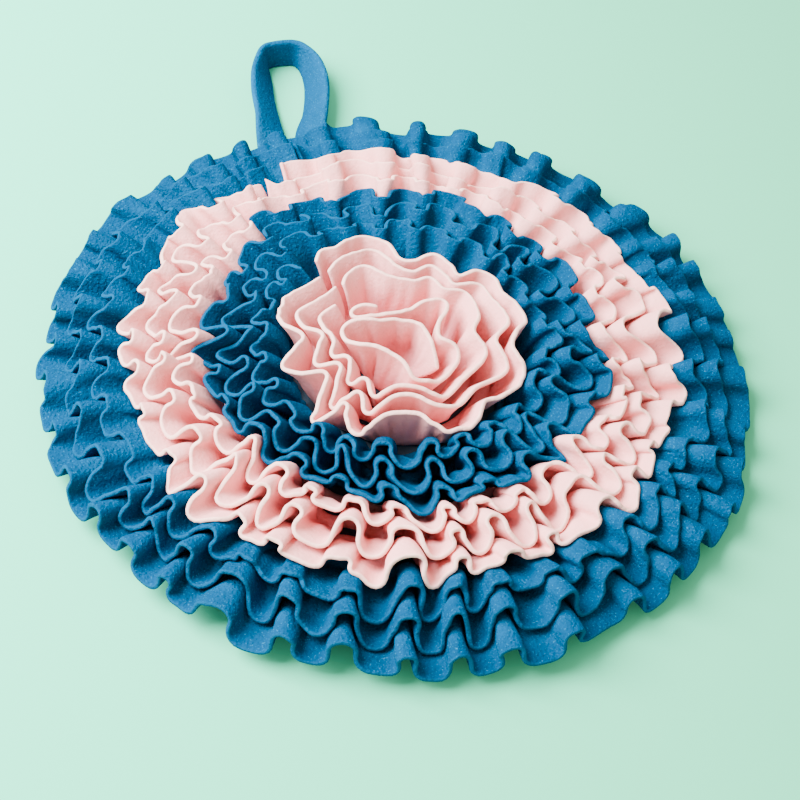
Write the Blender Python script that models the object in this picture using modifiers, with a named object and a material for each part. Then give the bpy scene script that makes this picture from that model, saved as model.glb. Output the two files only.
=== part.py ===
"""Snuffle mat: fleece strips gathered and sewn on edge, in one spiral, to a round backing.

The mat lies on the floor at z = 0 with its centre on the origin and its hanging loop
towards +Y. Each strip is sewn down along one edge and stands in deep pleats. The outer
turns lean out until they nearly lie flat, and the inner ones stand up around a rosette.

Run with: blender --background --python part.py
"""

import math
from typing import NamedTuple

import bmesh
import bpy
import numpy as np
from mathutils import Vector

# ---------------------------------------------------------------- driving sizes, metres
MM = 0.001
BACKING_RADIUS = 0.1740
BACKING_THICK = 0.0030
FLEECE = 0.0026
STRIP_REACH = 0.0375  # from the sewn line to the free edge
SEAM_GAP = 0.0003
TURN_END_GAP = 0.0013  # bare length at each end of a strip
BAND_END_GAP = 0.0030  # and where the colour changes

# The spiral, counted in turns from the outer end, runs clockwise seen from above.
START_BEARING = 86.0  # degrees from +X
FIRST_ROOT = 0.1680  # radius of the sewn line at the outer end
FIRST_PITCH = 0.0121  # how far the first turn steps in
PITCH = 0.0120  # and each turn after it
OUTER_LEAN = 10.0  # degrees from the floor
INNER_LEAN = 75.0
LEAN_TURNS = 4.5
CENTRE_SHIFT = (-0.0012, -0.0028)  # where the inner turns' centre ends up
SHIFT_START = 1.2  # turns
SHIFT_END = 5.0

# The pleats, all measured at the free edge.
PLEAT_SWING = 0.0070
PLEAT_CURL = 0.0023  # how far a pleat bulges past its own neck
ROOT_SHARE = 0.12  # share of the swing left at the sewn line
COLUMNS_PER_PLEAT = 6
CLASH_EASE = 0.66  # swing given up where two bands meet out of step
ROSETTE_EASE = 0.45  # and beside the rosette
OUTER_EASE = 0.22  # and on the outermost turn, which lies close over the next
EASE_TURNS = 0.06

LOOP_WIDTH = 0.0200
LOOP_THICK = 0.0046
LOOP_STEPS = 4
FOLD_STEPS = 3


class Wave(NamedTuple):
    """A slow unevenness that runs round the mat."""

    count: int  # waves in a turn
    size: float
    start: float  # radians
    creep: float  # radians that it shifts from one turn to the next


class Band(NamedTuple):
    """Neighbouring turns of one colour and one pleat count."""

    name: str
    first: float  # turns from the outer end
    last: float
    pieces: int
    pleats: int  # in a full turn
    offset: float  # radians
    colour: tuple


class Fold(NamedTuple):
    """One fold of a rosette petal's free edge, seen from above."""

    bearing: float  # degrees from +X
    reach: float  # millimetres from the centre


class LoopSection(NamedTuple):
    """One cross-section of the hanging loop."""

    across: float  # millimetres, +X
    along: float  # millimetres, +Y
    roll: float  # degrees, 0 lies flat and 90 stands on edge


BLUE = (0.012, 0.180, 0.380, 1.0)
BLUE_INNER = (0.010, 0.160, 0.350, 1.0)
PINK = (0.760, 0.540, 0.530, 1.0)
CHARCOAL = (0.030, 0.030, 0.035, 1.0)

PINK_START = 2.961
INNER_BLUE_START = 5.911
ROSETTE_START = 8.900

BANDS = (
    Band("blue_outer", 0.0, PINK_START, 3, 41, 0.4, BLUE),
    Band("pink_ring", PINK_START, INNER_BLUE_START, 3, 33, 1.9, PINK),
    Band("blue_inner", INNER_BLUE_START, ROSETTE_START, 3, 25, 3.0, BLUE_INNER),
)

PLEAT_DRIFT = (Wave(7, 1.0, 0.6, 0.22), Wave(13, 0.6, 2.1, -0.25), Wave(19, 0.4, 4.4, 0.26))
SWING_DRIFT = (Wave(5, 0.13, 1.2, 0.8), Wave(11, 0.09, 3.3, -0.9))
REACH_DRIFT = (Wave(8, 0.022, 0.3, 1.3), Wave(17, 0.016, 5.1, 1.9))

# The rosette's petals, each a strip with its folds listed from its outer end.
ROSETTE = (
    ("rosette_1", (
        Fold(119, 65), Fold(113, 68), Fold(107, 64), Fold(98, 67), Fold(87, 69),
        Fold(80, 62), Fold(75, 54), Fold(65, 54), Fold(50, 61), Fold(41, 56),
        Fold(35, 53), Fold(30, 64), Fold(21, 69), Fold(14, 64), Fold(3, 67),
        Fold(354, 69), Fold(340, 61), Fold(323, 71), Fold(307, 64), Fold(290, 70),
        Fold(277, 69), Fold(268, 60), Fold(251, 61), Fold(243, 73), Fold(237, 72),
        Fold(231, 63), Fold(223, 73), Fold(215, 61), Fold(203, 59), Fold(190, 68),
        Fold(179, 57), Fold(167, 60), Fold(154, 67), Fold(144, 63), Fold(127, 60),
    )),
    ("rosette_2", (
        Fold(119, 56), Fold(110, 58), Fold(98, 60), Fold(87, 60), Fold(78, 49),
        Fold(66, 47), Fold(52, 49), Fold(39, 46), Fold(27, 55), Fold(13, 59),
        Fold(352, 46), Fold(337, 55), Fold(323, 63), Fold(306, 54), Fold(288, 61),
        Fold(273, 55), Fold(253, 52), Fold(238, 53), Fold(226, 57), Fold(215, 52),
        Fold(203, 50), Fold(190, 58), Fold(180, 48), Fold(166, 52), Fold(152, 58),
        Fold(140, 54), Fold(129, 50),
    )),
    ("rosette_3", (
        Fold(126, 44), Fold(112, 48), Fold(98, 49), Fold(86, 38), Fold(66, 38),
        Fold(45, 39), Fold(24, 42), Fold(2, 34), Fold(346, 38), Fold(331, 46),
        Fold(308, 44), Fold(283, 45), Fold(262, 43), Fold(245, 44), Fold(232, 36),
        Fold(218, 43), Fold(202, 43), Fold(180, 38), Fold(155, 42), Fold(140, 38),
    )),
    ("rosette_heart", (
        Fold(118, 34), Fold(95, 28), Fold(62, 28), Fold(30, 30), Fold(358, 24),
        Fold(330, 34), Fold(300, 33), Fold(270, 33), Fold(240, 26), Fold(215, 32),
        Fold(180, 28), Fold(150, 30), Fold(112, 21), Fold(60, 16),
    )),
)

LOOP_SECTIONS = (
    LoopSection(-21.5, 174.6, 0),
    LoopSection(-21.0, 190.0, 4),
    LoopSection(-18.5, 206.0, 36),
    LoopSection(-15.0, 222.0, 54),
    LoopSection(-12.5, 242.0, 60),
    LoopSection(-8.5, 261.0, 66),
    LoopSection(-1.5, 276.0, 80),
    LoopSection(11.0, 283.5, 90),
    LoopSection(20.5, 277.0, 80),
    LoopSection(21.5, 261.0, 66),
    LoopSection(17.5, 242.0, 60),
    LoopSection(11.0, 222.0, 54),
    LoopSection(4.0, 206.0, 36),
    LoopSection(1.0, 190.0, 4),
    LoopSection(0.5, 174.6, 0),
)


# ---------------------------------------------------------------- the spiral
def drift(waves, turn):
    """Sum a set of slow waves at a place on the spiral."""
    angle = math.tau * turn
    return sum(w.size * math.cos(w.count * angle + w.start + w.creep * turn) for w in waves)


def bearing_at(turn):
    """Bearing of a place on the spiral, in radians from +X."""
    return math.radians(START_BEARING) - math.tau * turn


def root_radius(turn):
    """Radius of the sewn line."""
    return FIRST_ROOT - FIRST_PITCH * min(turn, 1.0) - PITCH * max(turn - 1.0, 0.0)


def lean_at(turn):
    """Lean of the strip from the floor, in radians."""
    return math.radians(INNER_LEAN - (INNER_LEAN - OUTER_LEAN) * math.exp(-turn / LEAN_TURNS))


def root_height(lean):
    """Height of the strip's middle at the sewn line, clear of the backing."""
    clear = FLEECE / 2 + ROOT_SHARE * PLEAT_SWING
    return BACKING_THICK + 2 * SEAM_GAP + 0.0002 + clear * math.cos(lean)


def polar(radius, bearing, height):
    """A point from its radius, its bearing in radians and its height."""
    return Vector((radius * math.cos(bearing), radius * math.sin(bearing), height))


def centre_at(turn):
    """Centre of a turn, which creeps towards the near side as the strip was laid by hand."""
    share = min(max((turn - SHIFT_START) / (SHIFT_END - SHIFT_START), 0.0), 1.0)
    return Vector((CENTRE_SHIFT[0] * share, CENTRE_SHIFT[1] * share, 0.0))


# ---------------------------------------------------------------- pleated turns
def pleat_phase(band, turn):
    """Phase of the pleats, in radians. It grows all the way along a band."""
    return band.pleats * math.tau * turn + band.offset + drift(PLEAT_DRIFT, turn) * band.pleats / 41


def step_mismatch(band, other, turn, shift):
    """How far out of step two bands' pleats are, from 0 to 1."""
    difference = pleat_phase(band, turn) - pleat_phase(other, turn + shift)
    return (1.0 - math.cos(difference)) / 2.0


def swing_at(index, turn):
    """Swing of the pleats at the free edge, smaller where two bands meet out of step."""
    band = BANDS[index]
    swing = PLEAT_SWING * (1.0 + drift(SWING_DRIFT, turn))
    swing *= 1.0 - OUTER_EASE * min(max(1.6 - turn, 0.0), 1.0)
    if index > 0:
        weight = min(max((band.first + 1.0 + EASE_TURNS - turn) / EASE_TURNS, 0.0), 1.0)
        swing *= 1.0 - CLASH_EASE * weight * step_mismatch(band, BANDS[index - 1], turn, -1.0)
    weight = min(max((turn - band.last + 1.0 + EASE_TURNS) / EASE_TURNS, 0.0), 1.0)
    if index < len(BANDS) - 1:
        swing *= 1.0 - CLASH_EASE * weight * step_mismatch(band, BANDS[index + 1], turn, 1.0)
    else:
        swing *= 1.0 - ROSETTE_EASE * weight
    return swing


def pleat_station(index, turn):
    """Root and free edge of a pleated strip at one place along it."""
    band = BANDS[index]
    lean = lean_at(turn)
    bearing = bearing_at(turn)
    phase = pleat_phase(band, turn)
    across = Vector((math.sin(bearing), -math.cos(bearing), 0.0))
    normal = Vector((-math.sin(lean) * math.cos(bearing),
                     -math.sin(lean) * math.sin(bearing), math.cos(lean)))
    swing = normal * swing_at(index, turn) * math.cos(phase)
    curl = across * PLEAT_CURL * math.sin(2.0 * phase)
    reach = STRIP_REACH * (1.0 + drift(REACH_DRIFT, turn))
    root = centre_at(turn) + polar(root_radius(turn), bearing, root_height(lean))
    rise = polar(reach * math.cos(lean), bearing, reach * math.sin(lean))
    return root + (swing + curl) * ROOT_SHARE, root + rise + swing + curl


def pleat_turns(band, first, last):
    """Places along a strip, six to a pleat, with one on each crest and trough."""
    fine = np.linspace(first, last, 4000)
    phases = np.array([pleat_phase(band, turn) for turn in fine])
    step = math.tau / COLUMNS_PER_PLEAT
    marks = np.arange(math.ceil(phases[0] / step + 0.3), phases[-1] / step - 0.3) * step
    return [first] + list(np.interp(marks, phases, fine)) + [last]


# ---------------------------------------------------------------- rosette petals
def smooth_path(points, steps):
    """Points of a Catmull-Rom curve through the given ones."""
    ends = [2 * points[0] - points[1]] + list(points) + [2 * points[-1] - points[-2]]
    path = []
    for a, b, c, d in zip(ends, ends[1:], ends[2:], ends[3:]):
        for k in range(steps):
            t = k / steps
            path.append(0.5 * (2 * b + (c - a) * t + (2 * a - 5 * b + 4 * c - d) * t ** 2
                               + (3 * b - a - 3 * c + d) * t ** 3))
    path.append(points[-1])
    return path


def petal_stations(folds, turn):
    """Roots and free edges of a rosette petal whose outer end is at a turn."""
    bearings = [float(folds[0].bearing)]
    for fold in folds[1:]:
        step = (fold.bearing - bearings[-1] + 180.0) % 360.0 - 180.0
        bearings.append(bearings[-1] + step)
    edges = [polar(f.reach * MM, math.radians(b), 0.0) for f, b in zip(folds, bearings)]
    travel = [(bearings[0] - b) / 360.0 for b in bearings]
    steady = [travel[0]]
    for k in range(1, len(travel)):
        after = travel[min(k + 1, len(travel) - 1)]
        steady.append(max((travel[k - 1] + travel[k] + after) / 3.0, steady[-1] + 0.004))
    path = smooth_path(edges, FOLD_STEPS)
    marks = np.interp(np.linspace(0, len(folds) - 1, len(path)), range(len(folds)), steady)
    stations = []
    for edge, mark in zip(path, marks):
        place = turn + mark
        bearing = math.radians(bearings[0]) - math.tau * mark
        root = polar(root_radius(place), bearing, root_height(lean_at(place))) + centre_at(place)
        sideways = (edge - Vector((root.x, root.y, 0.0))).length
        rise = math.sqrt(max(STRIP_REACH ** 2 - sideways ** 2, (0.5 * STRIP_REACH) ** 2))
        stations.append((root, Vector((edge.x, edge.y, root.z + rise))))
    return stations


# ---------------------------------------------------------------- Blender objects
def clear_scene():
    """Remove every object from the scene."""
    for obj in list(bpy.data.objects):
        bpy.data.objects.remove(obj, do_unlink=True)


def new_material(name, colour):
    """A soft, matt cloth material."""
    material = bpy.data.materials.new(name)
    material.use_nodes = True
    shader = material.node_tree.nodes["Principled BSDF"]
    shader.inputs["Base Color"].default_value = colour
    shader.inputs["Roughness"].default_value = 0.95
    shader.inputs["Metallic"].default_value = 0.0
    return material


def add_object(name, bm, colour, collection):
    """Turn a bmesh into an object with its own material."""
    mesh = bpy.data.meshes.new(name)
    bm.to_mesh(mesh)
    bm.free()
    obj = bpy.data.objects.new(name, mesh)
    obj.data.materials.append(new_material(name, colour))
    collection.objects.link(obj)
    return obj


def add_strip(name, stations, thick, colour, collection):
    """A strip of cloth between two rows of points, thickened on both sides."""
    bm = bmesh.new()
    rows = [[bm.verts.new(point) for point in row] for row in zip(*stations)]
    for low, high in zip(rows, rows[1:]):
        for k in range(len(low) - 1):
            bm.faces.new((low[k], low[k + 1], high[k + 1], high[k]))
    bmesh.ops.recalc_face_normals(bm, faces=bm.faces)
    obj = add_object(name, bm, colour, collection)
    obj.data.shade_smooth()
    wall = obj.modifiers.new("Fleece", "SOLIDIFY")
    wall.thickness = thick
    wall.offset = 0.0
    wall.use_even_offset = True
    wall.use_quality_normals = True
    return obj


def add_backing(collection):
    """The round backing, a flat disc that rests on the floor."""
    bm = bmesh.new()
    bmesh.ops.create_cone(bm, cap_ends=True, segments=72, radius1=BACKING_RADIUS,
                          radius2=BACKING_RADIUS, depth=BACKING_THICK)
    bmesh.ops.translate(bm, verts=bm.verts, vec=(0.0, 0.0, BACKING_THICK / 2))
    return add_object("backing", bm, CHARCOAL, collection)


def add_loop(collection):
    """The hanging loop, a folded band that lies flat at its ends and stands at its tip."""
    half = LOOP_WIDTH / 2
    middles = smooth_path([Vector((s.across * MM, s.along * MM, 0.0)) for s in LOOP_SECTIONS],
                          LOOP_STEPS)
    rolls = np.interp(np.linspace(0, len(LOOP_SECTIONS) - 1, len(middles)),
                      range(len(LOOP_SECTIONS)), [s.roll for s in LOOP_SECTIONS])
    stations = []
    for k, middle in enumerate(middles):
        ahead = middles[min(k + 1, len(middles) - 1)] - middles[max(k - 1, 0)]
        outward = Vector((-ahead.y, ahead.x, 0.0)).normalized()
        roll = math.radians(rolls[k])
        side = outward * math.cos(roll) + Vector((0.0, 0.0, math.sin(roll)))
        height = SEAM_GAP + half * math.sin(roll) + LOOP_THICK / 2 * math.cos(roll)
        centre = middle + Vector((0.0, 0.0, height))
        stations.append((centre - side * half, centre + side * half))
    return add_strip("hanging_loop", stations, LOOP_THICK, BLUE, collection)


def add_bands(collection):
    """The pleated turns, each a strip of its own."""
    for index, band in enumerate(BANDS):
        for piece in range(band.pieces):
            span = (band.last - band.first) / band.pieces
            first = band.first + span * piece
            trim = TURN_END_GAP / (math.tau * root_radius(first))
            wide = BAND_END_GAP / (math.tau * root_radius(first))
            start = first + (wide if piece == 0 else trim)
            end = first + span - (wide if piece == band.pieces - 1 else trim)
            turns = pleat_turns(band, start, end)
            stations = [pleat_station(index, turn) for turn in turns]
            add_strip(f"{band.name}_{piece + 1}", stations, FLEECE, band.colour, collection)


def add_rosette(collection):
    """The rosette, whose petals carry the spiral on to the centre."""
    turn = ROSETTE_START
    for name, folds in ROSETTE:
        add_strip(name, petal_stations(folds, turn), FLEECE, PINK, collection)
        turn += 1.0


def main():
    """Build the snuffle mat."""
    clear_scene()
    collection = bpy.data.collections.new("snuffle_mat")
    bpy.context.scene.collection.children.link(collection)
    add_backing(collection)
    add_loop(collection)
    add_bands(collection)
    add_rosette(collection)


if __name__ == "__main__":
    main()
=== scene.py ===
"""Snuffle mat: gathered fleece ruffles sewn in one spiral on a round felt backing.

Every strip of fleece is laid out over the solid of the same strip, with its pleats. All
strips then settle together, as soft cloth that is sewn along one edge and crowded, and
each becomes a sheet with rounded cut edges. Metres, +Z up, the hanging loop towards +Y.
"""

import logging
import random
from dataclasses import dataclass
from enum import Enum
from functools import cached_property, partial
from itertools import product
from math import ceil, cos, exp, pi, radians, sin, sqrt, tau

import bmesh
import bpy
import numpy as np
from bpy.types import Material, Node, NodeSocket, NodeTree, Object
from mathutils import Matrix, Vector


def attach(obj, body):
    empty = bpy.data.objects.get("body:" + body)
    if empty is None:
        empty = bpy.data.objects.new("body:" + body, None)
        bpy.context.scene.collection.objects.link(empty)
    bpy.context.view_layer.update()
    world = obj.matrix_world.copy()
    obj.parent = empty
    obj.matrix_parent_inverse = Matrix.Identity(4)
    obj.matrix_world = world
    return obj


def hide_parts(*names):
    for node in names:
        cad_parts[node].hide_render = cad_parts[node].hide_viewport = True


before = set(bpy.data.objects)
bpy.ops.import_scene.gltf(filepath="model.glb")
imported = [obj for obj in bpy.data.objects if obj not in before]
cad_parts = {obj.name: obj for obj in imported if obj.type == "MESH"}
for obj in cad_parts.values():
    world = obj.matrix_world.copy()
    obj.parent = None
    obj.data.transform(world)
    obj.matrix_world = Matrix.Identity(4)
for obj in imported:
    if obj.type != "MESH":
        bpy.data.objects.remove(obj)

log = logging.getLogger("snuffle_mat")
Place = Vector | np.ndarray
Pair = tuple[float, float]
MM = 0.001
TINY = 1e-9  # metres, as good as no length
CAMERA_AZIMUTH = -23.0  # degrees about +Z, from looking along +Y


class Hold(Enum):
    """How a piece of cloth is held on the mat."""

    GATHERED = "gathered"
    FOLDED = "folded"
    LAID = "laid"


# ---- helpers
def linear(code: str) -> tuple[float, float, float, float]:
    """Turn an sRGB hex value into the linear colour that a shader takes.

    Args:
        code: A hash and six hex digits.

    Returns:
        Linear red, green and blue, and an alpha of 1.
    """
    shares = [int(code[k:k + 2], 16) / 255 for k in (1, 3, 5)]
    lit = [s / 12.92 if s <= 0.04045 else ((s + 0.055) / 1.055) ** 2.4 for s in shares]
    return (*lit, 1.0)


def feed(node: Node, inputs: dict) -> None:
    """Set a node's inputs, by name or number, or link them to the sockets given.

    Args:
        node: The node.
        inputs: For each input, a value or the socket that feeds it.
    """
    for key, value in inputs.items():
        if isinstance(value, NodeSocket):
            node.id_data.links.new(value, node.inputs[key])
        else:
            node.inputs[key].default_value = value


def add_node(tree: NodeTree, kind: str, inputs: dict | None = None,
             **settings: object) -> Node:
    """Add a shader node with its settings, its values and its links.

    Args:
        tree: The node tree that it joins.
        kind: The node's type, without ShaderNode.
        inputs: What feeds it.
        **settings: Properties of the node itself.

    Returns:
        The new node.
    """
    node = tree.nodes.new(f"ShaderNode{kind}")
    for name, value in settings.items():
        setattr(node, name, value)
    feed(node, inputs or {})
    return node


def new_material(name: str) -> tuple[Material, Node, partial]:
    """Start a material, with its shader and the call that adds a node to it."""
    made = bpy.data.materials.new(name)
    made.use_nodes = True
    return made, made.node_tree.nodes["Principled BSDF"], partial(add_node, made.node_tree)


def pattern_scale(size_mm: float) -> float:
    """Scale of a pattern from the real size of its grain in millimetres."""
    return 1 / (size_mm * MM)


def add_piece(bm: bmesh.types.BMesh, name: str, material: Material) -> Object:
    """Turn a finished bmesh into an object of the scene.

    Args:
        bm: The bmesh, which is freed.
        name: The object's name.
        material: Its material.

    Returns:
        The object.
    """
    mesh = bpy.data.meshes.new(name)
    bm.to_mesh(mesh)
    bm.free()
    mesh.materials.append(material)
    piece = bpy.data.objects.new(name, mesh)
    bpy.context.scene.collection.objects.link(piece)
    return piece


def clamp(share: float) -> float:
    """Keep a share between 0 and 1."""
    return min(max(share, 0.0), 1.0)


def polar(radius: float, bearing: float, height: float) -> Vector:
    """A point from its radius, its bearing in radians and its height."""
    return Vector((radius * cos(bearing), radius * sin(bearing), height))


def distances(steps: np.ndarray) -> np.ndarray:
    """Lengths of the steps that lie along an array's last axis."""
    return np.sqrt((steps ** 2).sum(-1))


def curve_at(a: Place, b: Place, c: Place, d: Place, t: float | np.ndarray) -> Place:
    """Place on a Catmull-Rom curve, a share t of the way from b to c."""
    return 0.5 * (2 * b + (c - a) * t + (2 * a - 5 * b + 4 * c - d) * t ** 2
                  + (3 * b - a - 3 * c + d) * t ** 3)


def smooth_path(points: list[Vector], steps: int) -> list[Vector]:
    """Run a Catmull-Rom curve through points.

    Args:
        points: The points, at least two.
        steps: Places on the curve for each of its spans.

    Returns:
        The curve's points, first and last included.
    """
    ends = [2 * points[0] - points[1], *points, 2 * points[-1] - points[-2]]
    spans = zip(ends, ends[1:], ends[2:], ends[3:])
    return [*(curve_at(*span, k / steps) for span in spans for k in range(steps)), points[-1]]


# ---- finishes
@dataclass(frozen=True)
class FleeceFinish:
    """Polar fleece: a polyester knit, brushed and sheared to a matt pile on both faces.

    The pile clumps into small pills that catch the light. Its cut edge is painted lighter
    than its face, a painted highlight, and painted glints stand for tufts of pile ends in
    the light, which are too fine to show.
    """

    name: str
    slot: str
    face: str
    painted_seam_tone: str  # painted shade on the pink and painted light that lifts the shade on the blue, towards the seam
    edge: str  # painted highlight at the cut edge
    glint: str  # painted glint, a pile end in the light
    pill_mm: float
    pill_height_mm: float
    glint_strength: float
    mottle: float  # share by which the face is clouded darker and lighter
    sheen: float
    nap_share: float = 0.55  # grain of the nap, as a share of the pills'
    pill_share: float = 0.9  # relief of the pills, as a share of the nap's
    glint_mm: float = 0.95
    glints: Pair = (0.62, 0.74)  # noise where a painted glint starts and is full
    cloud_mm: float = 1000 / 55
    clouds: Pair = (0.6, 1.4)  # noise of the darkest and lightest places
    seam_paint_span: Pair = (0.30, 0.95)  # both across the strip, 0 at its seam
    # where the cut edge's painted highlight starts and is full
    rim: Pair = (0.965, 0.996)

    @cached_property
    def material(self) -> Material:
        """Build the fleece's material, once for all pieces of its colour.

        Returns:
            The material, which reads object coordinates and the strip's own UV map.
        """
        made, shader, node = new_material(self.name)
        place = node("TexCoord").outputs["Object"]
        strip = node("UVMap", uv_map="Strip").outputs["UV"]
        across = node("SeparateXYZ", {0: strip}).outputs["Y"]
        pills = node("TexVoronoi", {
            "Vector": place, "Scale": pattern_scale(self.pill_mm), "Randomness": 1.0},
            feature="SMOOTH_F1")
        nap = node("TexNoise", {
            "Vector": place, "Scale": pattern_scale(self.nap_share * self.pill_mm),
            "Detail": 3.0, "Roughness": 0.6})
        clouds = node("TexNoise", {
            "Vector": place, "Scale": pattern_scale(self.cloud_mm), "Detail": 2.0})
        # Towards the seam the colour turns to a painted tone, painted shade on the pink and
        # painted light that lifts the shade on the blue, and it is clouded a little.
        depth = node("MapRange", {
            "Value": across, "From Min": self.seam_paint_span[0], "From Max": self.seam_paint_span[1]},
            interpolation_type="SMOOTHSTEP")
        body = node("Mix", {
            0: depth.outputs[0], 6: linear(self.painted_seam_tone), 7: linear(self.face)},
            data_type="RGBA")
        shade = node("Math", {0: clouds.outputs["Fac"], 1: nap.outputs["Fac"]},
                     operation="ADD")
        tone = node("MapRange", {
            "Value": shade.outputs[0], "From Min": self.clouds[0], "From Max": self.clouds[1],
            "To Min": 1.0 - self.mottle, "To Max": 1.0 + self.mottle})
        toned = node("VectorMath", {0: body.outputs[2], "Scale": tone.outputs[0]},
                     operation="SCALE")
        # Painted glints: loose pile ends catch the light, a tuft in every few millimetres.
        noise = node("TexNoise", {
            "Vector": place, "Scale": pattern_scale(self.glint_mm), "Detail": 1.0})
        glints = node("MapRange", {
            "Value": noise.outputs["Fac"], "From Min": self.glints[0],
            "From Max": self.glints[1], "To Max": self.glint_strength})
        glinted = node("Mix", {
            0: glints.outputs[0], 6: toned.outputs[0], 7: linear(self.glint)},
            data_type="RGBA")
        # The cut edge is painted lighter, a painted highlight.
        rim = node("MapRange", {
            "Value": across, "From Min": self.rim[0], "From Max": self.rim[1]},
            interpolation_type="SMOOTHSTEP")
        colour = node("Mix", {
            0: rim.outputs[0], 6: glinted.outputs[2], 7: linear(self.edge)},
            data_type="RGBA")
        heights = node("Math", {
            0: pills.outputs["Distance"], 1: -self.pill_share, 2: nap.outputs["Fac"]},
            operation="MULTIPLY_ADD")
        bump = node("Bump", {
            "Height": heights.outputs[0], "Strength": 1.0,
            "Distance": self.pill_height_mm * MM})
        feed(shader, {
            "Base Color": colour.outputs[2], "Normal": bump.outputs["Normal"],
            "Roughness": 0.95, "Specular IOR Level": 0.0, "Sheen Weight": self.sheen,
            "Sheen Roughness": 0.45, "Sheen Tint": linear(self.glint)})
        return made


@dataclass(frozen=True)
class FeltFinish:
    """Needled polyester felt: short fibres punched flat, dull and slightly clouded."""

    name: str
    face: str
    fibre_mm: float
    relief_mm: float = 0.3
    tones: Pair = (0.75, 1.3)  # darkest and lightest, as shares of the face

    @cached_property
    def material(self) -> Material:
        """Build the felt's material.

        Returns:
            The material, which reads object coordinates.
        """
        made, shader, node = new_material(self.name)
        fibres = node("TexNoise", {
            "Vector": node("TexCoord").outputs["Object"],
            "Scale": pattern_scale(self.fibre_mm), "Detail": 4.0})
        tone = node("MapRange", {
            "Value": fibres.outputs["Fac"], "To Min": self.tones[0], "To Max": self.tones[1]})
        colour = node("VectorMath", {0: linear(self.face)[:3], "Scale": tone.outputs[0]},
                      operation="SCALE")
        bump = node("Bump", {
            "Height": fibres.outputs["Fac"], "Strength": 0.8,
            "Distance": self.relief_mm * MM})
        feed(shader, {
            "Base Color": colour.outputs[0], "Normal": bump.outputs["Normal"],
            "Roughness": 0.95, "Specular IOR Level": 0.1})
        return made


@dataclass(frozen=True)
class PaperFinish:
    """Matt tinted paper, the plain pale ground that the mat lies on, with painted light: lighter
    on the camera's left, where the lamp is.
    """

    name: str
    near_light: str
    off_light: str
    half_span: float  # metres from the middle to where either tint is full

    @cached_property
    def material(self) -> Material:
        """Build the paper's material.

        Returns:
            The material, a matt tint with painted light that changes from the camera's left,
            lighter near the lamp, to its darker right.
        """
        made, shader, node = new_material(self.name)
        a = radians(CAMERA_AZIMUTH)
        right = node("VectorMath", {
            0: node("TexCoord").outputs["Object"], 1: (cos(a), sin(a), 0.0)},
            operation="DOT_PRODUCT")
        share = node("MapRange", {
            "Value": right.outputs["Value"], "From Min": -self.half_span,
            "From Max": self.half_span}, interpolation_type="SMOOTHSTEP")
        tint = node("Mix", {
            0: share.outputs[0], 6: linear(self.near_light), 7: linear(self.off_light)},
            data_type="RGBA")
        feed(shader, {
            "Base Color": tint.outputs[2], "Roughness": 0.9, "Specular IOR Level": 0.0})
        return made


BLUE_FLEECE = FleeceFinish(
    name="blue_polar_fleece", slot="fleece_blue",
    face="#013C61", painted_seam_tone="#01507A", edge="#03476C", glint="#217CA6", pill_mm=1.9,
    pill_height_mm=0.80, glint_strength=0.45, mottle=0.24, sheen=0.0)
PINK_FLEECE = FleeceFinish(
    name="pink_polar_fleece", slot="fleece_pink",
    face="#F1A5A4", painted_seam_tone="#EC979B", edge="#F7BFB5", glint="#FCDAD4", pill_mm=2.2,
    pill_height_mm=0.28, glint_strength=0.18, mottle=0.05, sheen=0.05)
BACKING_FELT = FeltFinish(name="charcoal_needled_felt", face="#3A4654", fibre_mm=0.8)
MINT_PAPER = PaperFinish(name="mint_matt_paper", near_light="#4ED8AF", off_light="#55BE92",
                         half_span=0.42)


# ---- cloth
@dataclass(frozen=True)
class Cloth:
    """How a sheet is cut and finished."""

    thick: float
    rows: tuple[float, ...]  # places across the sheet, as shares of its width

    def build(self, name: str, columns: list[list[Vector]],
              material: Material) -> tuple[Object, float]:
        """Make a sheet whose middle lies on rows of places.

        Args:
            name: The object's name.
            columns: For each place along the sheet, its points across it.
            material: The cloth.

        Returns:
            The sheet, thickened on both sides and rounded at its cut edges, and the length
            of its free edge.
        """
        last_column, last_row = len(columns) - 1, len(columns[0]) - 1
        along = [0.0]
        for before, after in zip(columns, columns[1:]):
            along.append(along[-1] + (after[-1] - before[-1]).length)
        bm = bmesh.new()
        bmesh.ops.create_grid(bm, x_segments=last_column, y_segments=last_row, size=1.0)
        strip = bm.loops.layers.uv.new("Strip")
        for vert in bm.verts:
            column = round((vert.co.x + 1) / 2 * last_column)
            row = round((vert.co.y + 1) / 2 * last_row)
            for loop in vert.link_loops:
                loop[strip].uv = (along[column], self.rows[row])
            vert.co = columns[column][row]
        piece = add_piece(bm, name, material)
        piece.data.shade_smooth()
        wall = piece.modifiers.new("Thickness", "SOLIDIFY")
        wall.thickness = self.thick
        wall.offset = 0.0
        wall.use_quality_normals = True
        soft = piece.modifiers.new("Rounding", "SUBSURF")
        soft.levels = soft.render_levels = 1
        soft.boundary_smooth = "ALL"
        return piece, along[-1]


# Rows under 0 are the seam allowance. Those near 1 keep the cut edge's rounding tight.
FLEECE_CLOTH = Cloth(
    thick=0.0024, rows=(-0.16, -0.04, 0.0, 0.16, 0.33, 0.5, 0.66, 0.82, 0.93, 0.975, 1.0))


def dress(piece: Object, node: str, hold: Hold, flat: Pair) -> None:
    """Put a sheet in its solid's place.

    Args:
        piece: The sheet.
        node: The solid that it replaces.
        hold: How it is held.
        flat: The width and length that it was cut to, in metres.
    """
    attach(piece, "root")
    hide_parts(node)
    log.info("%s: %s, cut %.0f by %.0f mm", piece.name, hold.value, flat[0] / MM, flat[1] / MM)


# ---- settling
@dataclass
class Strip:
    """One cut of fleece as points on its middle: places along it, across it, and X, Y, Z."""

    name: str
    node: str
    finish: FleeceFinish
    points: np.ndarray
    fullness: float  # share that its free edge gains while it settles
    gathered: float  # length near the seam, as a share of the cut's
    allowance: float  # width that is turned in under the seam


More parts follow.
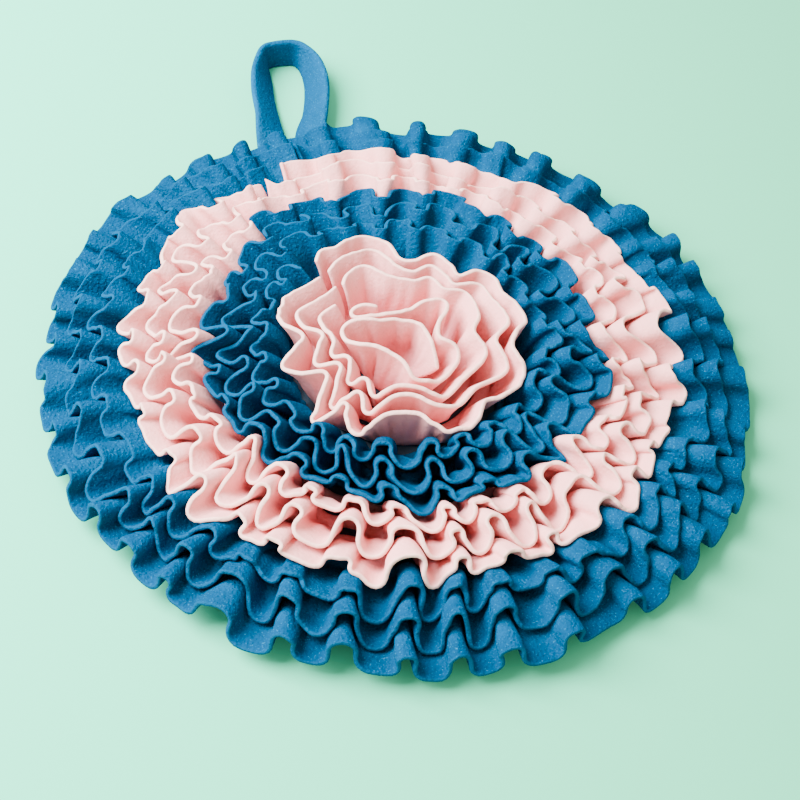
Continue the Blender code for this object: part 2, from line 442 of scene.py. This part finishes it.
@dataclass
class Settling:
    """Relaxes all strips together, as soft cloth that is sewn along one edge and crowded.

    Each strip starts on its solid. Its length then grows to what was really gathered into
    it, its folds stay rounder than the cloth's own radius, and strips that meet push each
    other aside, so the pleats lean and curl as they find room.
    """

    steps: int = 64
    growing: float = 0.70  # share of the steps in which the length grows
    apart: float = 0.0039  # least distance between two layers' middles
    search: float = 0.0051
    refresh: int = 4  # steps between two searches
    same_fold: float = 0.0115  # length of a strip that may lie in a single fold
    stretch: float = 0.9  # share of a wrong length put right in a step
    roundest: float = 1.72  # least distance of next-but-one columns, in column lengths
    flattest: float = 1.93  # the same for rows
    unfold: float = 0.5  # share of too tight a fold put right in a step
    ironing: float = 0.035  # share of the way to straight in a step
    crowding: float = 0.6  # how far many neighbours weaken each one's push
    sewn: float = 0.14  # share of the width that the seam draws in
    weight: float = 0.000012  # fall in a step
    stray: float = 0.0100  # furthest from where a point was laid
    rim: float = 0.1755  # radius within which the backing carries the cloth
    on_backing: float = 0.0046  # least heights of the cloth's middle
    on_floor: float = 0.0018
    on_loop: float = 0.0092
    loop_left: float = -0.0350
    loop_right: float = 0.0200
    loop_start: float = 0.1720
    allowance_height: float = 0.0045
    rumple: float = 1.5  # rise of the allowance's inner edge, against the seam's
    bare_centre: float = 0.0020  # radius that no allowance reaches

    @staticmethod
    def pull(one: np.ndarray, other: np.ndarray, length: np.ndarray, stiffness: float,
             least: bool = False) -> None:
        """Move pairs of points towards a length.

        Args:
            one: First points, changed in place.
            other: Second points, changed in place.
            length: The lengths that they should have.
            stiffness: Share of the error that is taken out.
            least: Whether only pairs that are too near are moved.
        """
        step = other - one
        far = distances(step) + TINY
        error = far - length
        if least:
            error = np.minimum(error, 0.0)
        move = step * (0.5 * stiffness * error / far)[..., None]
        one += move
        other -= move

    def near_pairs(self, points: np.ndarray, strip: np.ndarray,
                   column: np.ndarray) -> tuple[np.ndarray, np.ndarray]:
        """Find the pairs of points that could touch, in cells as wide as the search.

        Args:
            points: All points.
            strip: Each point's strip.
            column: Each point's place along it, in metres.

        Returns:
            The numbers of the first and of the second points.
        """
        cell = np.floor(points / self.search).astype(np.int64)
        cell -= cell.min(axis=0) - 1
        spread = cell.max(axis=0) + 2
        strides = np.array([spread[1] * spread[2], spread[2], 1])
        key = cell @ strides
        order = np.argsort(key, kind="stable")
        ranked = key[order]
        firsts, seconds = [], []
        ahead = [step for step in product((-1, 0, 1), repeat=3) if step >= (0, 0, 0)]
        for step in ahead:
            wanted = key + int(np.dot(step, strides))
            low = np.searchsorted(ranked, wanted, "left")
            count = np.searchsorted(ranked, wanted, "right") - low
            first = np.repeat(np.arange(len(points)), count)
            inner = np.arange(count.sum()) - np.repeat(np.cumsum(count) - count, count)
            second = order[np.repeat(low, count) + inner]
            keep = ((points[first] - points[second]) ** 2).sum(axis=1) < self.search ** 2
            keep &= (strip[first] != strip[second]) \
                | (np.abs(column[first] - column[second]) >= self.same_fold)
            if step == (0, 0, 0):
                keep &= first < second
            firsts.append(first[keep])
            seconds.append(second[keep])
        return np.concatenate(firsts), np.concatenate(seconds)

    def part(self, points: np.ndarray, first: np.ndarray, second: np.ndarray) -> None:
        """Push pairs of points apart where the cloth would run through itself.

        Args:
            points: All points, changed in place.
            first: The numbers of the first points.
            second: The numbers of the second points.
        """
        step = points[first] - points[second]
        far = distances(step) + TINY
        lack = np.maximum(self.apart - far, 0.0)
        near = lack > 0.0
        first, second = first[near], second[near]
        push = step[near] * (0.5 * lack[near] / far[near])[:, None]
        both = np.concatenate([first, second])
        size = len(points)
        met = np.maximum(np.bincount(both, minlength=size), 1) ** self.crowding
        for axis in range(3):
            moves = np.concatenate([push[:, axis], -push[:, axis]])
            points[:, axis] += np.bincount(both, moves, size) / met

    def relax(self, sheet: np.ndarray, along: np.ndarray, across: np.ndarray) -> None:
        """Bring one strip nearer to its lengths and to the roundness of its folds.

        Args:
            sheet: Its points, changed in place.
            along: Lengths between neighbouring columns.
            across: Lengths between neighbouring rows.
        """
        ways = ((sheet, along, self.roundest),
                (sheet.swapaxes(0, 1), across.T, self.flattest))
        for grid, length, _ in ways:
            for k in range(2):
                self.pull(grid[:-1][k::2], grid[1:][k::2], length[k::2], self.stretch)
        for grid, length, tightest in ways:
            middle = 0.5 * (length[:-1] + length[1:])
            for k in range(4):
                self.pull(grid[:-2][k::4], grid[2:][k::4], tightest * middle[k::4],
                          self.unfold, least=True)
        sheet[1:-1] += self.ironing * (0.5 * (sheet[:-2] + sheet[2:]) - sheet[1:-1])

    def lengths(self, strip: Strip) -> tuple[np.ndarray, np.ndarray, np.ndarray]:
        """Measure a strip as laid, and work out what was gathered into it.

        Args:
            strip: The strip.

        Returns:
            The lengths along it as laid, those along it at its fullest, and those across.
        """
        sheet = strip.points
        along = distances(sheet[1:] - sheet[:-1])
        across = distances(sheet[:, 1:] - sheet[:, :-1])
        rows = np.linspace(0.0, 1.0, sheet.shape[1])
        cut = along[:, -1].sum() * (1.0 + strip.fullness)
        share = strip.gathered + (1.0 - strip.gathered) * rows
        gain = np.maximum(cut * share / along.sum(axis=0), 1.0)
        gain = 1.0 + (gain - 1.0) * np.minimum(rows / self.sewn, 1.0)
        return along, along * gain[None, :], across

    def settle(self, strips: list[Strip]) -> None:
        """Settle the strips.

        Args:
            strips: The strips, whose points are changed.
        """
        points = np.concatenate([strip.points.reshape(-1, 3) for strip in strips])
        home = points.copy()
        counts = [strip.points.size // 3 for strip in strips]
        sheets, homes = (
            [part.reshape(strip.points.shape)
             for part, strip in zip(np.split(whole, np.cumsum(counts)[:-1]), strips)]
            for whole in (points, home))
        lengths = [self.lengths(strip) for strip in strips]
        owner = np.repeat(np.arange(len(strips)), counts)
        column = np.concatenate([
            np.repeat(np.concatenate([[0.0], np.cumsum(along[:, -1])]), along.shape[1])
            for along, _, _ in lengths])
        for step in range(self.steps):
            grown = min(1.0, (step + 1) / (self.growing * self.steps))
            if step % self.refresh == 0:
                first, second = self.near_pairs(points, owner, column)
            for sheet, (laid, full, across) in zip(sheets, lengths):
                self.relax(sheet, laid + (full - laid) * grown, across)
            self.part(points, first, second)
            points[:, 2] -= self.weight
            moved = points - home
            far = distances(moved) + TINY
            points[:] = home + moved * np.minimum(1.0, self.stray / far)[:, None]
            x, y, z = points.T
            low = np.where(np.hypot(x, y) < self.rim, self.on_backing, self.on_floor)
            over_loop = (y > self.loop_start) & (x > self.loop_left) & (x < self.loop_right)
            z[:] = np.maximum(z, np.where(over_loop, self.on_loop, low))
            for sheet, place in zip(sheets, homes):
                sheet[:, 0] = place[:, 0]
                sheet[:, 1] = 0.5 * (sheet[:, 1] + place[:, 1])
        for strip, sheet in zip(strips, sheets):
            strip.points = sheet
        log.info("settled %d points, %d pairs near each other", len(points), len(first))

    def sew(self, strips: list[Strip], cloth: Cloth, width: float) -> None:
        """Make the settled strips into sheets, with their seam allowance turned inwards.

        Args:
            strips: The strips.
            cloth: How they are cut and finished.
            width: The width that stands above the seam.
        """
        rows = np.array(cloth.rows)
        standing, turned = rows[rows >= 0.0], rows[rows < 0.0] / cloth.rows[0]
        for strip in strips:
            points = strip.points
            laid = np.linspace(0.0, 1.0, points.shape[1])
            low = np.clip(np.searchsorted(laid, standing, "right") - 1, 0, len(laid) - 2)
            share = (standing - laid[low]) * (len(laid) - 1)
            ends = np.concatenate([2 * points[:, :1] - points[:, 1:2], points,
                                   2 * points[:, -1:] - points[:, -2:-1]], axis=1)
            above = curve_at(*(ends[:, low + k] for k in range(4)), share[None, :, None])
            seam = points[:, 0]
            radius = np.hypot(seam[:, 0], seam[:, 1])[:, None]
            inwards = np.minimum(strip.allowance * turned, radius - self.bare_centre)
            under = seam[:, None] * (1.0 - inwards / radius)[:, :, None]
            rumple = self.rumple * (seam[:, 2] - seam[:, 2].min())
            under[:, :, 2] = self.allowance_height + rumple[:, None] * turned
            places = np.concatenate([under, above], axis=1)
            columns = [[Vector(point) for point in line] for line in places.tolist()]
            sheet, length = cloth.build(strip.name, columns, strip.finish.material)
            dress(sheet, strip.node, Hold.GATHERED,
                  (width + strip.allowance, length))


# ---- the spiral
@dataclass(frozen=True)
class Wave:
    """A slow unevenness that runs round the mat."""

    count: int  # waves in a turn
    size: float
    start: float  # radians
    creep: float  # radians that it shifts in each turn


def drift(waves: tuple[Wave, ...], turn: float) -> float:
    """Sum a set of slow waves at a place on the spiral, in turns from its outer end."""
    angle = tau * turn
    return sum(w.size * cos(w.count * angle + w.start + w.creep * turn) for w in waves)


@dataclass(frozen=True)
class Creep:
    """A sideways shift that grows along the spiral."""

    shift: Pair
    start: float  # turn at which it starts
    end: float  # turn at which it is full

    def at(self, turn: float) -> Vector:
        """The shift of one turn."""
        share = clamp((turn - self.start) / (self.end - self.start))
        return Vector((*self.shift, 0.0)) * share


@dataclass(frozen=True)
class Spiral:
    """The line that the strips are sewn along, and how they stand on it."""

    start_bearing: float = 86.0  # degrees from +X
    first_root: float = 0.1680  # radius of the seam at the outer end
    first_pitch: float = 0.0121
    pitch: float = 0.0120
    outer_lean: float = 10.0  # degrees from the floor
    inner_lean: float = 75.0
    lean_turns: float = 4.5
    centre: Creep = Creep((-0.0012, -0.0028), 1.2, 5.0)  # of the turns
    foot: Creep = Creep((0.0013, 0.0031), 3.0, 6.0)  # tilts the cloth to the near side
    backing_thick: float = 0.0030
    fleece: float = 0.0026
    strip_reach: float = 0.0375  # width above the seam
    root_swing: float = 0.00084
    seam_gap: float = 0.0008

    def bearing(self, turn: float) -> float:
        """Bearing of a place on the spiral, in radians from +X."""
        return radians(self.start_bearing) - tau * turn

    def root_radius(self, turn: float) -> float:
        """Radius of the sewn line."""
        return self.first_root - self.first_pitch * min(turn, 1.0) \
            - self.pitch * max(turn - 1.0, 0.0)

    def lean(self, turn: float) -> float:
        """Lean of the strip from the floor, in radians."""
        fall = (self.inner_lean - self.outer_lean) * exp(-turn / self.lean_turns)
        return radians(self.inner_lean - fall)

    def root(self, turn: float, bearing: float) -> Vector:
        """The sewn line's point, at the middle of the fleece, clear of the backing."""
        clear = (self.fleece / 2 + self.root_swing) * cos(self.lean(turn))
        height = self.backing_thick + self.seam_gap + clear
        return self.centre.at(turn) + polar(self.root_radius(turn), bearing, height)


@dataclass
class Unevenness:
    """The slow shift of cloth that was laid and pushed about by hand.

    It is one smooth flow through the whole mat, so neighbouring sheets move together.
    """

    reach: float = 0.0015
    grain: float = 0.019  # size of its patches
    still: float = 0.004  # height up to which nothing shifts
    rise: float = 0.016  # height over which the shift grows
    count: int = 12
    seed: int = 5

    @cached_property
    def swells(self) -> list[tuple[Vector, Vector, float]]:
        """Draw the swells that the flow is made of.

        Returns:
            For each, its way in radians in each metre, its shift and its start in radians.
        """
        draw = random.Random(self.seed)
        size = self.reach / sqrt(self.count / 2)
        return [(Vector([draw.gauss(0.0, 1.0 / self.grain) for _ in range(3)]),
                 Vector([draw.gauss(0.0, size) for _ in range(3)]),
                 draw.uniform(0.0, tau)) for _ in range(self.count)]

    def moved(self, point: Vector) -> Vector:
        """Shift a point with the flow."""
        shifts = (shift * sin(point.dot(way) + start) for way, shift, start in self.swells)
        return point + sum(shifts, Vector()) * clamp((point.z - self.still) / self.rise)


# ---- pleated turns
@dataclass(frozen=True)
class Band:
    """Neighbouring turns of one colour and one pleat count."""

    name: str
    first: float  # turns from the spiral's outer end
    last: float
    pieces: int
    pleats: int  # in a turn
    offset: float  # phase of the pleats, in radians
    finish: FleeceFinish
    gathered: float
    allowance: float
    tuck: float  # metres that its last turn is tucked under the next band, on the near side


@dataclass
class PleatedBands:
    """The blue, pink and blue turns, each strip gathered along its sewn edge."""

    spiral: Spiral
    flow: Unevenness
    swing: float = 0.0076  # of a pleat at the free edge
    curl: float = 0.0016  # narrows each fold's neck
    roundness: float = 0.0016  # widens the outward folds and narrows the inward ones
    root_share: float = 0.22  # share of the swing at the seam
    opening: float = 0.85  # power by which a pleat opens towards its edge
    columns_per_pleat: int = 12
    near_bearing: float = -113.0  # degrees, towards the camera
    clash_ease: float = 0.66  # share of the swing lost where bands are out of step
    rosette_ease: float = 0.45  # beside the rosette
    outer_ease: float = 0.22  # at the mat's edge
    outer_turns: float = 1.6
    ease_turns: float = 0.06
    turn_end_gap: float = 0.0013
    band_end_gap: float = 0.0030
    end_margin: float = 0.3  # columns left out next to a strip's ends
    bow: float = 0.0044  # bulge across the width
    bands: tuple[Band, ...] = (
        Band("blue_outer", 0.0, 2.961, 3, 41, 0.4, BLUE_FLEECE, 0.84, 0.0060, 0.0),
        Band("pink_ring", 2.961, 5.911, 3, 33, 1.9, PINK_FLEECE, 0.94, 0.0080, 0.0025),
        Band("blue_inner", 5.911, 8.900, 3, 25, 3.0, BLUE_FLEECE, 0.97, 0.0064, 0.0))
    pleat_drift: tuple[Wave, ...] = (
        Wave(7, 0.85, 0.6, 0.40), Wave(13, 0.38, 2.1, -0.55), Wave(19, 0.34, 4.4, 0.70),
        Wave(29, 0.20, 1.7, 0.90))
    swing_drift: tuple[Wave, ...] = (
        Wave(5, 0.13, 1.2, 0.8), Wave(11, 0.13, 3.3, -0.9), Wave(23, 0.14, 0.4, 1.1))
    reach_drift: tuple[Wave, ...] = (Wave(8, 0.028, 0.3, 1.3), Wave(17, 0.030, 5.1, 1.9))
    rows: int = 10
    fine_steps: int = 6000
    fullness: float = 0.25

    def phase(self, band: Band, turn: float) -> float:
        """Phase of the pleats, in radians, which grows all the way along a band."""
        slip = drift(self.pleat_drift, turn) * band.pleats / self.bands[0].pleats
        return band.pleats * tau * turn + band.offset + slip

    def mismatch(self, index: int, side: int, turn: float) -> float:
        """How far a band's pleats are out of step with the next one's, from 0 to 1."""
        other = self.phase(self.bands[index + side], turn + side)
        return (1.0 - cos(self.phase(self.bands[index], turn) - other)) / 2.0

    def swing_at(self, index: int, turn: float) -> float:
        """Swing of the pleats at the free edge.

        Args:
            index: The band's number.
            turn: The place on the spiral.

        Returns:
            The swing in metres, smaller where two bands meet out of step.
        """
        band = self.bands[index]
        swing = self.swing * (1.0 + drift(self.swing_drift, turn))
        swing *= 1.0 - self.outer_ease * clamp(self.outer_turns - turn)
        if index > 0:
            weight = clamp((band.first + 1.0 + self.ease_turns - turn) / self.ease_turns)
            swing *= 1.0 - self.clash_ease * weight * self.mismatch(index, -1, turn)
        weight = clamp((turn - band.last + 1.0 + self.ease_turns) / self.ease_turns)
        if index < len(self.bands) - 1:
            swing *= 1.0 - self.clash_ease * weight * self.mismatch(index, 1, turn)
        else:
            swing *= 1.0 - self.rosette_ease * weight
        return swing

    def column(self, index: int, turn: float) -> list[Vector]:
        """Points across a strip at one place along it.

        Args:
            index: The band's number.
            turn: The place on the spiral.

        Returns:
            The points, from the sewn line to the free edge.
        """
        band = self.bands[index]
        lean, bearing = self.spiral.lean(turn), self.spiral.bearing(turn)
        phase = self.phase(band, turn)
        along = Vector((sin(bearing), -cos(bearing), 0.0))
        normal = polar(-sin(lean), bearing, cos(lean))
        swing = normal * self.swing_at(index, turn) * cos(phase)
        curl = along * (self.curl * sin(2.0 * phase) - self.roundness * sin(phase))
        reach = self.spiral.strip_reach * (1.0 + drift(self.reach_drift, turn))
        root, foot = self.spiral.root(turn, bearing), self.spiral.foot.at(turn)
        near = max(cos(bearing - radians(self.near_bearing)), 0.0)
        tuck = band.tuck * near * (turn - band.first) / (band.last - band.first)
        rise = polar(reach * cos(lean) - tuck, bearing, reach * sin(lean))
        points = []
        for share in np.linspace(0.0, 1.0, self.rows):
            open_share = self.root_share + (1.0 - self.root_share) * share ** self.opening
            bowed = normal * self.bow * sin(pi * share)
            points.append(self.flow.moved(root + foot * (1.0 - share) + rise * share
                                          + (swing + curl) * open_share + bowed))
        return points

    def places(self, band: Band, first: float, last: float) -> list[float]:
        """Places along a strip, evenly spread over its pleats.

        Args:
            band: The strip's band.
            first: Where the strip starts, in turns.
            last: Where it ends.

        Returns:
            The places, in turns.
        """
        fine = np.linspace(first, last, self.fine_steps)
        phases = np.array([self.phase(band, turn) for turn in fine])
        step = tau / self.columns_per_pleat
        marks = np.arange(ceil(phases[0] / step + self.end_margin),
                          phases[-1] / step - self.end_margin) * step
        return [first, *np.interp(marks, phases, fine), last]

    def strips(self) -> list[Strip]:
        """Lay out the bands' strips.

        Returns:
            The strips, from the outer end inwards.
        """
        laid = []
        for index, band in enumerate(self.bands):
            span = (band.last - band.first) / band.pieces
            for piece in range(band.pieces):
                first = band.first + span * piece
                girth = tau * self.spiral.root_radius(first)
                before, after = (self.band_end_gap if piece == end else self.turn_end_gap
                                 for end in (0, band.pieces - 1))
                turns = self.places(band, first + before / girth, first + span - after / girth)
                points = np.array([self.column(index, turn) for turn in turns])
                node = f"{band.name}_{piece + 1}"
                laid.append(Strip(f"{node}_ruffle", node, band.finish, points,
                                  self.fullness, band.gathered, band.allowance))
        return laid


# ---- rosette
@dataclass(frozen=True)
class Petal:
    """One turn of the rosette.

    The folds of its free edge are listed from its outer end, each by its bearing in degrees
    from +X and its reach from the centre in millimetres.
    """

    name: str
    allowance: float
    folds: tuple[Pair, ...]


PETALS = (
    Petal("rosette_1", 0.0090, (
        (119, 68), (113, 72), (106, 68), (97, 70), (88, 72), (80, 66), (75, 54), (65, 53),
        (52, 61), (42, 58), (34, 54), (30, 66), (22, 70), (12, 66), (2, 70), (352, 70),
        (344, 62), (335, 61), (324, 73), (310, 69), (300, 66), (290, 73), (279, 76), (270, 68),
        (262, 61), (250, 61), (243, 69), (238, 74), (232, 66), (227, 60), (220, 75), (214, 66),
        (204, 54), (195, 64), (187, 69), (180, 61), (173, 57), (163, 66), (151, 72), (142, 67),
        (133, 62), (126, 60))),
    Petal("rosette_2", 0.0090, (
        (119, 58), (110, 60), (98, 60), (87, 60), (78, 47), (66, 44), (52, 51), (40, 48),
        (31, 46), (23, 58), (12, 57), (354, 59), (340, 51), (325, 61), (306, 56), (288, 60),
        (274, 56), (261, 49), (250, 50), (240, 60), (230, 51), (221, 63), (213, 53), (204, 45),
        (193, 55), (181, 50), (172, 47), (163, 56), (151, 60), (141, 54), (131, 49), (126, 48))),
    Petal("rosette_3", 0.0080, (
        (120, 46), (112, 49), (98, 50), (86, 40), (66, 37), (50, 42), (35, 39), (22, 47),
        (2, 44), (346, 40), (331, 48), (308, 47), (285, 50), (264, 42), (250, 42), (238, 49),
        (228, 42), (217, 48), (204, 38), (190, 45), (178, 41), (163, 45), (148, 49), (138, 43))),
    Petal("rosette_heart", 0.0050, (
        (115, 22), (125, 27), (140, 31), (144, 27), (131, 19), (73, 16), (51, 22), (40, 27),
        (27, 33), (16, 30), (1, 22), (338, 22), (333, 27), (330, 33), (320, 37), (305, 38),
        (291, 38), (279, 36), (266, 34), (260, 30), (254, 25), (240, 21), (212, 21), (194, 27),
        (180, 32), (168, 34), (158, 33), (151, 25), (139, 15), (94, 9), (27, 10), (345, 14),
        (318, 21), (304, 29))))


@dataclass
class Rosette:
    """The pink strip's last turns, pushed together into a rose with a curled heart."""

    spiral: Spiral
    flow: Unevenness
    start: float = 8.900  # turns
    fold_steps: int = 7
    column_step: float = 0.0030
    least_travel: float = 0.004  # turns of seam for each fold
    least_rise: float = 0.5  # of a petal, as a share of its width
    flare: float = 0.0060  # curls the free edge outwards
    rows: int = 10
    fullness: float = 0.07
    gathered: float = 0.76
    petals: tuple[Petal, ...] = PETALS

    def columns(self, folds: tuple[Pair, ...], turn: float) -> np.ndarray:
        """Points across a petal at each place along it.

        Args:
            folds: The folds of its free edge.
            turn: The place on the spiral of its outer end.

        Returns:
            For each place, the points from the sewn line to the free edge.
        """
        bearings = [float(folds[0][0])]
        for bearing, _ in folds[1:]:
            bearings.append(bearings[-1] + (bearing - bearings[-1] + 180.0) % 360.0 - 180.0)
        edges = [polar(far * MM, radians(b), 0.0) for (_, far), b in zip(folds, bearings)]
        travel = [(bearings[0] - b) / 360.0 for b in bearings]
        steady = [travel[0]]
        for three in zip(travel, travel[1:], [*travel[2:], travel[-1]]):
            steady.append(max(sum(three) / 3.0, steady[-1] + self.least_travel))
        path = smooth_path(edges, self.fold_steps)
        marks = np.interp(np.linspace(0, len(folds) - 1, len(path)), range(len(folds)), steady)
        reach = self.spiral.strip_reach
        columns = []
        for edge, mark in zip(path, marks):
            place = turn + mark
            root = self.spiral.root(place, radians(bearings[0]) - tau * mark) \
                + self.spiral.foot.at(place)
            sideways = (edge - Vector((root.x, root.y, 0.0))).length
            rise = sqrt(max(reach ** 2 - sideways ** 2, (self.least_rise * reach) ** 2))
            top = Vector((edge.x, edge.y, root.z + rise))
            outward = edge.normalized()
            columns.append([
                self.flow.moved(root.lerp(top, share)
                                + outward * self.flare * (share ** 3 - share))
                for share in np.linspace(0.0, 1.0, self.rows)])
        return self.evened(np.array(columns))

    def evened(self, columns: np.ndarray) -> np.ndarray:
        """Spread the columns of a petal evenly along its free edge.

        Args:
            columns: The points across the petal at each place.

        Returns:
            The same petal, with its places one column step apart.
        """
        steps = distances(columns[1:, -1] - columns[:-1, -1])
        reached = np.concatenate([[0.0], np.cumsum(steps)])
        marks = np.linspace(0.0, reached[-1], round(reached[-1] / self.column_step) + 1)
        low = np.clip(np.searchsorted(reached, marks, "right") - 1, 0, len(steps) - 1)
        share = ((marks - reached[low]) / steps[low])[:, None, None]
        return columns[low] * (1.0 - share) + columns[low + 1] * share

    def strips(self) -> list[Strip]:
        """Lay out the rosette's petals."""
        return [Strip(f"{leaf.name}_petal", leaf.name, PINK_FLEECE,
                      self.columns(leaf.folds, self.start + number), self.fullness,
                      self.gathered, leaf.allowance)
                for number, leaf in enumerate(self.petals)]


# ---- hanging loop
@dataclass
class HangingLoop:
    """A fleece strip folded in half along its length, sewn and bent into a loop."""

    width: float = 0.0200
    thick: float = 0.0046
    layer: float = 0.0021
    floor_gap: float = 0.0003
    steps: int = 6
    fold_points: int = 4
    # The upper layer from its cut edge, pressed in along the stitches: places on the
    # width and off the middle, as shares of half of each.
    outline: tuple[Pair, ...] = (
        (-1.0, 1.0), (-0.88, 1.0), (-0.72, 0.89), (-0.5, 0.97), (0.0, 1.05), (0.5, 1.0))
    edge_share: float = 0.9  # of the fleece's pattern, so that its painted highlight at the cut edge stays off
    # Millimetres along +X and +Y, and the roll in degrees, 0 flat and 90 on edge.
    sections: tuple[tuple[float, float, float], ...] = (
        (-21.5, 174.6, 0), (-21.0, 190.0, 4), (-19.5, 206.0, 22), (-17.5, 222.0, 40),
        (-15.5, 242.0, 44), (-12.0, 260.0, 50), (-8.0, 273.0, 68), (-4.5, 281.0, 84),
        (1.0, 283.6, 90), (9.0, 284.0, 90), (16.5, 282.5, 90), (21.0, 276.0, 80),
        (24.0, 262.0, 56), (22.0, 244.0, 44), (15.0, 222.0, 40), (7.5, 206.0, 22),
        (2.5, 190.0, 4), (0.5, 174.6, 0))

    def across(self) -> list[Pair]:
        """The folded strip's section.

        Returns:
            For each point, its place along the width and off the middle, in metres, from
            one cut edge round the fold to the other.
        """
        apart = (self.thick - self.layer) / 2
        fold = self.width / 2 - self.layer / 2 - apart
        flat = [*((self.width / 2 * place, off) for place, off in self.outline), (fold, 1.0)]
        turn = [(fold + apart * sin(a), cos(a))
                for a in np.linspace(0, pi, self.fold_points + 2)[1:-1]]
        back = [(place, -off) for place, off in reversed(flat)]
        return [(place, off * apart) for place, off in [*flat, *turn, *back]]

    def build(self) -> None:
        """Build the loop."""
        section = self.across()
        middles = smooth_path([Vector((x * MM, y * MM, 0.0)) for x, y, _ in self.sections],
                              self.steps)
        rolls = np.interp(np.linspace(0, len(self.sections) - 1, len(middles)),
                          range(len(self.sections)), [roll for _, _, roll in self.sections])
        columns = []
        for k, middle in enumerate(middles):
            ahead = middles[min(k + 1, len(middles) - 1)] - middles[max(k - 1, 0)]
            outward = Vector((-ahead.y, ahead.x, 0.0)).normalized()
            roll = radians(rolls[k])
            side = outward * cos(roll) + Vector((0.0, 0.0, sin(roll)))
            face = side.cross(ahead.normalized()).normalized()
            height = self.floor_gap + self.width / 2 * sin(roll) + self.thick / 2 * cos(roll)
            centre = middle + Vector((0.0, 0.0, height))
            columns.append([centre + side * place + face * off for place, off in section])
        rows = tuple(np.linspace(0.0, self.edge_share, len(section)).tolist())
        piece, _ = Cloth(self.layer, rows).build("hanging_loop_fleece", columns,
                                                 BLUE_FLEECE.material)
        length = sum((after - before).length for before, after in zip(middles, middles[1:]))
        dress(piece, "hanging_loop", Hold.FOLDED,
              (2 * self.width, length))


# ---- backing
@dataclass
class Backing:
    """The round piece of felt that the ruffles are sewn to."""

    radius: float = 0.1740
    thick: float = 0.0030
    sides: int = 160
    rounding: float = 0.0007

    def build(self) -> None:
        """Build the backing, flat where it rests."""
        bm = bmesh.new()
        bmesh.ops.create_cone(bm, cap_ends=True, segments=self.sides, radius1=self.radius,
                              radius2=self.radius, depth=self.thick)
        bmesh.ops.translate(bm, verts=bm.verts, vec=(0.0, 0.0, self.thick / 2))
        rims = [edge for edge in bm.edges if abs(edge.verts[0].co.z - edge.verts[1].co.z) < TINY]
        bmesh.ops.bevel(bm, geom=rims, offset=self.rounding, segments=2, profile=0.5,
                        affect="EDGES", material=-1)
        piece = add_piece(bm, "backing_felt", BACKING_FELT.material)
        dress(piece, "backing", Hold.LAID, (2 * self.radius, 2 * self.radius))


# ---- studio
@dataclass
class Studio:
    """The ground, the soft light and the camera at the photograph's viewing angle."""

    elevation: float = 48.9
    distance: float = 0.85
    roll: float = 7.7  # degrees that the picture is turned clockwise
    focal_px: float = 1500.0
    frame_px: float = 800.0
    origin_px: Pair = (393.0, 376.0)
    sensor_mm: float = 36.0
    sky: str = "#F3F5E4"
    sky_strength: float = 1.5
    key_tint: str = "#F8FFFF"
    key_watts: float = 145.0
    key_size: float = 1.1
    key_left: float = 0.95  # metres to the camera's left
    key_height: float = 1.05
    ground_half: float = 15.0
    ground_drop: float = 0.0001  # keeps it from flickering under the mat

    def camera(self) -> None:
        """Place the camera so that the mat's centre falls where the photograph has it."""
        a, e = radians(CAMERA_AZIMUTH), radians(self.elevation)
        back = Vector((sin(a) * cos(e), -cos(a) * cos(e), sin(e)))
        right = Vector((cos(a), sin(a), 0.0))
        facing = Matrix((right, back.cross(right), back)).transposed()
        middle = self.frame_px / 2
        aim = Vector(((self.origin_px[0] - middle) / self.focal_px,
                      (middle - self.origin_px[1]) / self.focal_px, -1.0))
        nudge = aim.rotation_difference(Vector((0.0, 0.0, -1.0))).to_matrix()
        turn = facing @ Matrix.Rotation(radians(self.roll), 3, "Z") @ nudge
        data = bpy.data.cameras.new("photo_camera")
        data.sensor_fit = "HORIZONTAL"
        data.sensor_width = self.sensor_mm
        data.lens = self.focal_px / self.frame_px * self.sensor_mm
        camera = bpy.data.objects.new("photo_camera", data)
        camera.matrix_world = Matrix.LocRotScale(back * self.distance, turn, None)
        bpy.context.scene.collection.objects.link(camera)
        bpy.context.scene.camera = camera

    def light(self) -> None:
        """Add the one large soft light, which faces the mat, and the even light round it."""
        data = bpy.data.lights.new("key_softbox", "AREA")
        data.size = self.key_size
        data.energy = self.key_watts
        data.color = linear(self.key_tint)[:3]
        lamp = bpy.data.objects.new("key_softbox", data)
        lamp.location = polar(-self.key_left, radians(CAMERA_AZIMUTH), self.key_height)
        lamp.rotation_euler = lamp.location.to_track_quat("Z", "Y").to_euler()
        bpy.context.scene.collection.objects.link(lamp)
        world = bpy.data.worlds.new("studio_world")
        world.use_nodes = True
        sky = world.node_tree.nodes["Background"]
        sky.inputs["Color"].default_value = linear(self.sky)
        sky.inputs["Strength"].default_value = self.sky_strength
        bpy.context.scene.world = world

    def ground(self) -> None:
        """Lay the paper, wide enough to fill the photograph's view."""
        bm = bmesh.new()
        bmesh.ops.create_grid(bm, x_segments=1, y_segments=1, size=self.ground_half)
        bmesh.ops.translate(bm, verts=bm.verts, vec=(0.0, 0.0, -self.ground_drop))
        add_piece(bm, "ground_paper", MINT_PAPER.material)

    def build(self) -> None:
        """Build the ground, the light and the camera."""
        self.ground()
        self.light()
        self.camera()
        log.info("studio: ground, soft light and camera")


def main() -> None:
    """Build the mat and its studio."""
    logging.basicConfig(level=logging.INFO, format="%(message)s")
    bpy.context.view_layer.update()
    spiral, flow = Spiral(), Unevenness()
    Backing().build()
    strips = [*PleatedBands(spiral, flow).strips(), *Rosette(spiral, flow).strips()]
    settling = Settling()
    settling.settle(strips)
    settling.sew(strips, FLEECE_CLOTH, spiral.strip_reach)
    HangingLoop().build()
    Studio().build()


if __name__ == "__main__":
    main()
